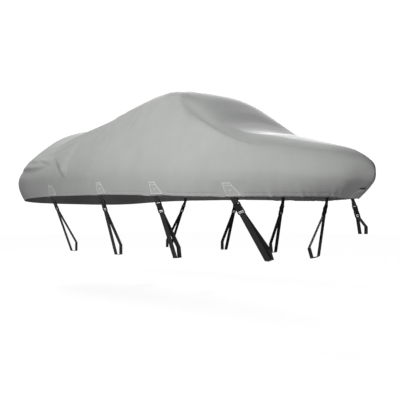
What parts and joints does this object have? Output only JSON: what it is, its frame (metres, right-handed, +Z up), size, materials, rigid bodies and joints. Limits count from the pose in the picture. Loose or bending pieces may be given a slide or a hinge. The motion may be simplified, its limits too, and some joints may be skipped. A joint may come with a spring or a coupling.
{
  "type": "boat cover",
  "caption": "Fitted grey canvas cover for a small motor boat, humped over the windshield, with sewn patches and buckled webbing tie-downs.",
  "frame": {"origin": "under the top of the hump, on the cloth's inner face, where the boat's windshield frame holds the cover up", "axes": "+X to the bow, +Y to port, +Z up"},
  "size_m": [5.2624, 2.2792, 1.9237],
  "materials": {
    "canvas_grey": "matte woven polyester canvas",
    "patch_grey": "matte woven polyester, light grey",
    "black_webbing": "ribbed black polypropylene webbing",
    "black_plastic": "satin moulded black plastic"
  },
  "bodies": {
    "root": {"bow_band": "black_webbing", "cover_shell": "canvas_grey", "patch_bow": "patch_grey", "patch_port_1": "patch_grey", "patch_port_2": "patch_grey", "patch_port_3": "patch_grey", "patch_port_4": "patch_grey", "patch_starboard_1": "patch_grey", "patch_starboard_2": "patch_grey", "patch_starboard_3": "patch_grey", "patch_starboard_4": "patch_grey", "plug_bow": "black_plastic", "plug_port_1": "black_plastic", "plug_port_2": "black_plastic", "plug_port_3": "black_plastic", "plug_port_4": "black_plastic", "plug_starboard_1": "black_plastic", "plug_starboard_2": "black_plastic", "plug_starboard_3": "black_plastic", "plug_starboard_4": "black_plastic", "socket_bow": "black_plastic", "socket_port_1": "black_plastic", "socket_port_2": "black_plastic", "socket_port_3": "black_plastic", "socket_port_4": "black_plastic", "socket_starboard_1": "black_plastic", "socket_starboard_2": "black_plastic", "socket_starboard_3": "black_plastic", "socket_starboard_4": "black_plastic", "strap_bow": "black_webbing", "strap_port_1": "black_webbing", "strap_port_2": "black_webbing", "strap_port_3": "black_webbing", "strap_port_4": "black_webbing", "strap_starboard_1": "black_webbing", "strap_starboard_2": "black_webbing", "strap_starboard_3": "black_webbing", "strap_starboard_4": "black_webbing", "tab_bow": "black_webbing", "tab_port_1": "black_webbing", "tab_port_2": "black_webbing", "tab_port_3": "black_webbing", "tab_port_4": "black_webbing", "tab_starboard_1": "black_webbing", "tab_starboard_2": "black_webbing", "tab_starboard_3": "black_webbing", "tab_starboard_4": "black_webbing"}
  },
  "joints": []
}
